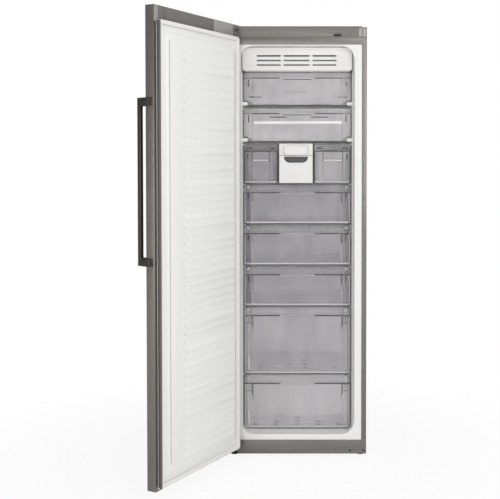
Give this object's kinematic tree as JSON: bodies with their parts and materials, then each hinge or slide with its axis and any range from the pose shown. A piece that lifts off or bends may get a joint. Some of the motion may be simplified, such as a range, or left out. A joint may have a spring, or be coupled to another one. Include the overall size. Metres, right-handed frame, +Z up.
{
  "type": "upright freezer",
  "caption": "Tall single-door upright freezer, open, with clear drawers on glass shelves, drop-down flaps, a twist ice maker with bin and a bar handle.",
  "frame": {"origin": "on the floor, under the middle of the bounding box of the freezer as it is stored, with its door open", "axes": "+Z up, +X to the right seen from the front, +Y from the door side into the cabinet"},
  "size_m": [0.8934, 1.1466, 1.85],
  "materials": {
    "brushed_steel": "brushed",
    "galvanised_steel": "galvanised",
    "grey_plastic": "satin",
    "white_plastic": "satin",
    "dull_white_plastic": "matte",
    "clear_plastic": "clear",
    "shelf_glass": "polished",
    "insulating_foam": "matte",
    "gasket": "matte",
    "charcoal_metal": "satin",
    "black_paint": "satin",
    "copper": "drawn",
    "aluminium": "mill",
    "black_plastic": "matte"
  },
  "bodies": {
    "cabinet": {"outer_shell": "brushed_steel", "back_panel": "galvanised_steel", "bottom_panel": "galvanised_steel", "base_frame": "galvanised_steel", "liner": "white_plastic", "cabinet_foam": "insulating_foam", "top_cover": "grey_plastic", "plinth": "grey_plastic", "upper_hinge": "galvanised_steel", "lower_hinge": "black_paint", "evaporator_cover": "white_plastic", "evaporator_tray": "dull_white_plastic", "evaporator_coil": "aluminium", "fan_shroud": "dull_white_plastic", "air_duct": "dull_white_plastic", "ice_maker_housing": "white_plastic", "compressor": "black_paint", "drip_tray": "black_plastic", "refrigerant_pipes": "copper", "machine_cover": "galvanised_steel", "mains_inlet": "black_plastic", "shelf_1": "shelf_glass", "shelf_2": "shelf_glass", "shelf_3": "shelf_glass", "shelf_4": "shelf_glass", "shelf_5": "shelf_glass", "shelf_6": "shelf_glass", "shelf_7": "shelf_glass"},
    "door": {"door_skin": "brushed_steel", "door_panel": "white_plastic", "door_foam": "insulating_foam", "door_gasket": "gasket", "door_top_cap": "grey_plastic", "door_bottom_cap": "grey_plastic", "handle_bar": "charcoal_metal", "handle_bracket_upper": "charcoal_metal", "handle_bracket_lower": "charcoal_metal"},
    "door_switch": {"door_switch": "black_plastic"},
    "flap_upper": {"flap_upper": "clear_plastic"},
    "flap_lower": {"flap_lower": "clear_plastic"},
    "small_drawer_left": {"small_drawer_left": "clear_plastic"},
    "small_drawer_right": {"small_drawer_right": "clear_plastic"},
    "ice_bin": {"ice_bin": "white_plastic"},
    "ice_twister": {"twist_lever": "white_plastic", "ice_tray": "dull_white_plastic"},
    "drawer_1": {"drawer_1_front": "clear_plastic", "drawer_1_tub": "clear_plastic"},
    "drawer_2": {"drawer_2_front": "clear_plastic", "drawer_2_tub": "clear_plastic"},
    "drawer_3": {"drawer_3_front": "clear_plastic", "drawer_3_tub": "clear_plastic"},
    "drawer_4": {"drawer_4_front": "clear_plastic", "drawer_4_tub": "clear_plastic"},
    "drawer_5": {"drawer_5_front": "clear_plastic", "drawer_5_tub": "clear_plastic"},
    "fan": {"fan_impeller": "black_plastic"},
    "roller_left": {"rear_roller_left": "black_plastic"},
    "roller_right": {"rear_roller_right": "black_plastic"},
    "foot_left": {"levelling_foot_left": "black_plastic"},
    "foot_right": {"levelling_foot_right": "black_plastic"}
  },
  "joints": [
    {"name": "door_swing", "type": "hinge", "parent": "cabinet", "child": "door", "pos_m": [-0.12482, -0.05974, 0.9], "axis": [0, 0, -1], "range_deg": [-118, 0]},
    {"name": "door_switch_push", "type": "slide", "parent": "cabinet", "child": "door_switch", "axis": [0, -1, 0], "range_m": [-0.005, 0], "stiffness_N_per_m": 150},
    {"name": "flap_upper_drop", "type": "hinge", "parent": "cabinet", "child": "flap_upper", "pos_m": [0.14918, 0.03226, 1.523], "axis": [1, 0, 0], "range_deg": [0, 85]},
    {"name": "flap_lower_drop", "type": "hinge", "parent": "cabinet", "child": "flap_lower", "pos_m": [0.14918, 0.03226, 1.3665], "axis": [1, 0, 0], "range_deg": [0, 85]},
    {"name": "small_drawer_left_pull", "type": "slide", "parent": "cabinet", "child": "small_drawer_left", "axis": [0, -1, 0], "range_m": [0, 0.33]},
    {"name": "small_drawer_right_pull", "type": "slide", "parent": "cabinet", "child": "small_drawer_right", "axis": [0, -1, 0], "range_m": [0, 0.33]},
    {"name": "ice_bin_pull", "type": "slide", "parent": "cabinet", "child": "ice_bin", "axis": [0, -1, 0], "range_m": [0, 0.33]},
    {"name": "ice_twist", "type": "hinge", "parent": "cabinet", "child": "ice_twister", "pos_m": [0.14343, 0.03326, 1.322], "axis": [0, 1, 0], "range_deg": [-140, 0]},
    {"name": "drawer_1_pull", "type": "slide", "parent": "cabinet", "child": "drawer_1", "axis": [0, -1, 0], "range_m": [0, 0.4]},
    {"name": "drawer_2_pull", "type": "slide", "parent": "cabinet", "child": "drawer_2", "axis": [0, -1, 0], "range_m": [0, 0.4]},
    {"name": "drawer_3_pull", "type": "slide", "parent": "cabinet", "child": "drawer_3", "axis": [0, -1, 0], "range_m": [0, 0.4]},
    {"name": "drawer_4_pull", "type": "slide", "parent": "cabinet", "child": "drawer_4", "axis": [0, -1, 0], "range_m": [0, 0.4]},
    {"name": "drawer_5_pull", "type": "slide", "parent": "cabinet", "child": "drawer_5", "axis": [0, -1, 0], "range_m": [0, 0.15]},
    {"name": "fan_spin", "type": "hinge", "parent": "cabinet", "child": "fan", "pos_m": [0.14918, 0.44326, 1.678], "axis": [0, 1, 0], "continuous": true},
    {"name": "roller_left_roll", "type": "hinge", "parent": "cabinet", "child": "roller_left", "pos_m": [-0.12482, 0.53326, 0.016], "axis": [1, 0, 0], "continuous": true},
    {"name": "roller_right_roll", "type": "hinge", "parent": "cabinet", "child": "roller_right", "pos_m": [0.42318, 0.53326, 0.016], "axis": [1, 0, 0], "continuous": true},
    {"name": "foot_left_turn", "type": "hinge", "parent": "cabinet", "child": "foot_left", "pos_m": [-0.12482, 0.01726, 0.02], "axis": [0, 0, 1], "continuous": true},
    {"name": "foot_right_turn", "type": "hinge", "parent": "cabinet", "child": "foot_right", "pos_m": [0.42318, 0.01726, 0.02], "axis": [0, 0, 1], "continuous": true}
  ]
}
